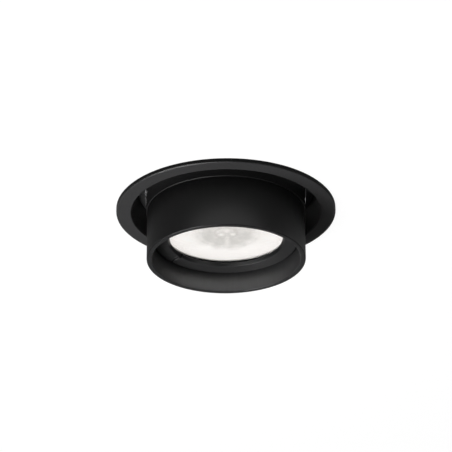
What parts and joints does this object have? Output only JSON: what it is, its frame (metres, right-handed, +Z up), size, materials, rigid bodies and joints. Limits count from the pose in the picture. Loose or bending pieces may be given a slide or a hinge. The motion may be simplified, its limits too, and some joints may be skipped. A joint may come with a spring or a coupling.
{
  "type": "recessed soffit downlight",
  "caption": "Round black recessed soffit downlight with a projecting lamp sleeve that swivels and tilts in its flange, two sprung ceiling clips, a twist-lock lamp and a terminal box.",
  "frame": {"origin": "centre of the cut-out in the ceiling plane, where the flange's back face meets the board", "axes": "+Z up into the ceiling void, along the axis of the cut-out; the head's tilt axis lies along X at rest; the picture is taken from -Y and below"},
  "size_m": [0.137, 0.09, 0.0967],
  "materials": {
    "trim_black": "satin black powder coat on die-cast aluminium",
    "head_black": "satin black powder coat on turned aluminium",
    "sleeve_black": "satin black coat on turned aluminium",
    "swivel_black": "satin black coat on aluminium",
    "seal_rubber": "matt silicone rubber",
    "boot_rubber": "soft vinyl",
    "clip_steel": "rolled stainless spring steel",
    "spring_steel": "drawn spring wire",
    "fixings": "stainless steel",
    "strap_steel": "bright zinc-plated sheet steel",
    "clear_glass": "clear flat glass",
    "lamp_lens": "clear moulded lens, lit from behind",
    "lamp_white": "white enamelled die-cast fins",
    "lamp_base": "white moulded plastic",
    "reflector": "bright metallised reflector",
    "led": "phosphor-coated light emitter on its carrier",
    "pin_metal": "nickel-plated brass",
    "holder_ceramic": "white steatite",
    "lead_sleeve": "braided glass-fibre sleeving",
    "box_plastic": "black moulded nylon",
    "block_plastic": "white moulded terminal block",
    "gland_plastic": "black moulded nylon"
  },
  "bodies": {
    "trim": {"trim_ring": "trim_black", "flange_gasket": "seal_rubber", "keeper_ring": "spring_steel", "clip_pins": "fixings", "clip_spring_stops": "spring_steel"},
    "clip_right": {"clip_arm_right": "clip_steel", "clip_foot_right": "boot_rubber", "clip_spring_right": "spring_steel"},
    "clip_left": {"clip_arm_left": "clip_steel", "clip_foot_left": "boot_rubber", "clip_spring_left": "spring_steel"},
    "swivel": {"swivel_ring": "swivel_black", "friction_washers": "fixings"},
    "head": {"head_body": "head_black", "pivot_screws": "fixings", "front_sleeve": "sleeve_black", "sleeve_seal": "seal_rubber", "front_glass": "clear_glass", "glass_gasket": "seal_rubber", "holder_bracket": "strap_steel", "bracket_screws": "fixings", "lampholder": "holder_ceramic", "holder_screws": "fixings", "holder_leads": "lead_sleeve", "lead_grommet": "seal_rubber", "terminal_box": "box_plastic", "box_rivets": "fixings", "terminal_block": "block_plastic", "terminal_cover": "box_plastic", "cover_screws": "fixings", "gland_body": "gland_plastic", "gland_seal": "seal_rubber", "gland_nut": "gland_plastic"},
    "glass_ring": {"retaining_ring": "sleeve_black"},
    "lamp": {"lamp_shell": "lamp_white", "lamp_lens": "lamp_lens", "lamp_reflector": "reflector", "led_module": "led", "lamp_base": "lamp_base", "lamp_pins": "pin_metal"}
  },
  "joints": [
    {"name": "swivel_turn", "type": "hinge", "parent": "trim", "child": "swivel", "pos_m": [0, 0, 0.008], "axis": [0, 0, 1], "range_deg": [-177, 177]},
    {"name": "head_tilt", "type": "hinge", "parent": "swivel", "child": "head", "pos_m": [0, 0, 0.00965], "axis": [1, 0, 0], "range_deg": [-20, 20]},
    {"name": "clip_right_fold", "type": "hinge", "parent": "trim", "child": "clip_right", "pos_m": [0.0378, 0, 0.0129], "axis": [0, -1, 0], "range_deg": [0, 102], "stiffness_Nm_per_rad": 0.12, "springref_deg": -57.3},
    {"name": "clip_left_fold", "type": "hinge", "parent": "trim", "child": "clip_left", "pos_m": [-0.0378, 0, 0.0129], "axis": [0, 1, 0], "range_deg": [0, 102], "stiffness_Nm_per_rad": 0.12, "springref_deg": -57.3},
    {"name": "ring_release", "type": "slide", "parent": "head", "child": "glass_ring", "axis": [0, 0, -1], "range_m": [0, 0.012]},
    {"name": "lamp_twist", "type": "hinge", "parent": "head", "child": "lamp", "pos_m": [0, 0, 0.03565], "axis": [0, 0, -1], "range_deg": [0, 30]}
  ]
}
